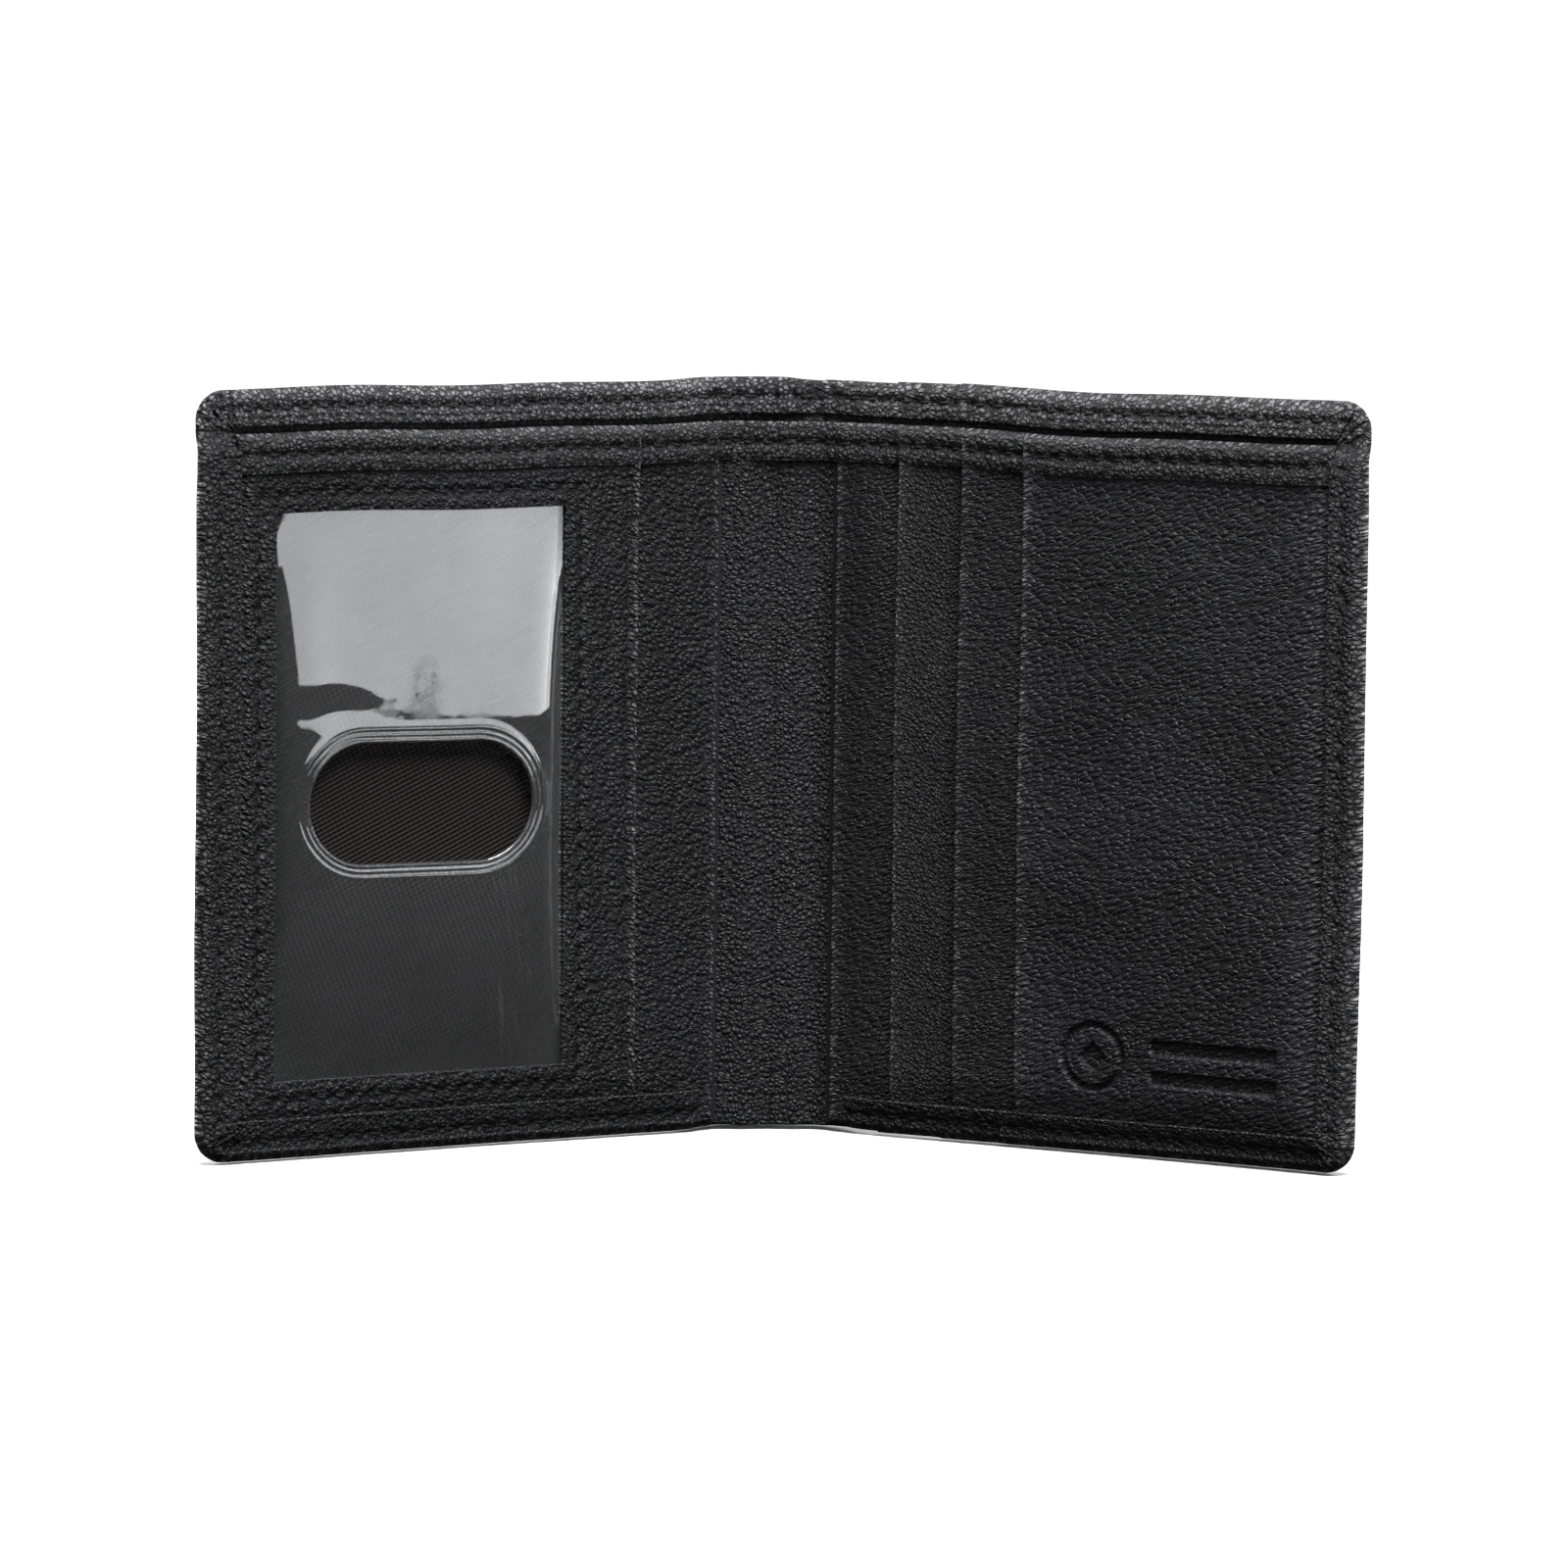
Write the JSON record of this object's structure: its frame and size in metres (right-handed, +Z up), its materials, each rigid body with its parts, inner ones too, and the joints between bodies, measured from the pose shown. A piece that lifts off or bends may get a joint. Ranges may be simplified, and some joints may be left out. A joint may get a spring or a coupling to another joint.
{
  "type": "bifold wallet",
  "caption": "Vertical bifold leather wallet standing half open, with a clear identity window, staggered card slots inside and outside, and a full-length note compartment.",
  "frame": {"origin": "the foot of the spine: the middle of the bottom edge of the outer leather between the two folds", "axes": "+X along the open wallet towards the leaf with the card slots, +Y back through the spine, +Z up along the folds"},
  "size_m": [0.166, 0.0487, 0.108],
  "materials": {
    "cover_leather": "pebbled grain, satin",
    "frame_leather": "coarse pebbled grain, satin",
    "pocket_leather": "fine grain, satin",
    "panel_leather": "stretched diagonal grain, satin",
    "lining_leather": "thin lining leather, matt",
    "backing_fabric": "plain woven nylon",
    "twill_lining": "fine twill weave",
    "bonded_board": "bonded leather board",
    "shield_foil": "thin laminated foil",
    "clear_film": "clear flexible film",
    "black_thread": "waxed polyester thread"
  },
  "bodies": {
    "spine": {"gutter_binding_stitching": "black_thread", "gutter_top_binding": "pocket_leather", "spine_cover": "cover_leather", "spine_gutter": "pocket_leather", "spine_lining": "lining_leather", "spine_rfid_shield": "shield_foil", "spine_stitching": "black_thread"},
    "left_leaf": {"id_mouth_stitching": "black_thread", "id_pocket_lining": "twill_lining", "id_window_film": "clear_film", "id_window_frame": "frame_leather", "id_window_stitching": "black_thread", "left_binding_stitching": "black_thread", "left_compartment_lining": "lining_leather", "left_cover": "cover_leather", "left_cover_board": "bonded_board", "left_perimeter_stitching": "black_thread", "left_pocket_backing": "backing_fabric", "left_rfid_shield": "shield_foil", "left_slip_pocket": "pocket_leather", "left_slip_pocket_bag": "backing_fabric", "left_top_binding": "pocket_leather"},
    "right_leaf": {"card_front_panel": "panel_leather", "card_slot_1": "pocket_leather", "card_slot_1_bag": "backing_fabric", "card_slot_2": "pocket_leather", "card_slot_2_bag": "backing_fabric", "card_slot_3": "pocket_leather", "card_slot_3_bag": "backing_fabric", "exterior_front_panel": "cover_leather", "exterior_pocket_backing": "backing_fabric", "exterior_slot_1": "cover_leather", "exterior_slot_1_bag": "backing_fabric", "exterior_slot_2": "cover_leather", "exterior_slot_2_bag": "backing_fabric", "exterior_slot_3": "cover_leather", "exterior_slot_3_bag": "backing_fabric", "right_binding_stitching": "black_thread", "right_compartment_lining": "lining_leather", "right_cover_board": "bonded_board", "right_perimeter_stitching": "black_thread", "right_pocket_backing": "backing_fabric", "right_rfid_shield": "shield_foil", "right_top_binding": "pocket_leather"}
  },
  "joints": [
    {"name": "left_fold", "type": "hinge", "parent": "spine", "child": "left_leaf", "pos_m": [-0.00762, -0.0063, 0], "axis": [0, 0, 1], "range_deg": [-27.7, 64.8]},
    {"name": "right_fold", "type": "hinge", "parent": "spine", "child": "right_leaf", "pos_m": [0.00762, -0.0063, 0], "axis": [0, 0, -1], "range_deg": [-27.7, 64.8]}
  ]
}
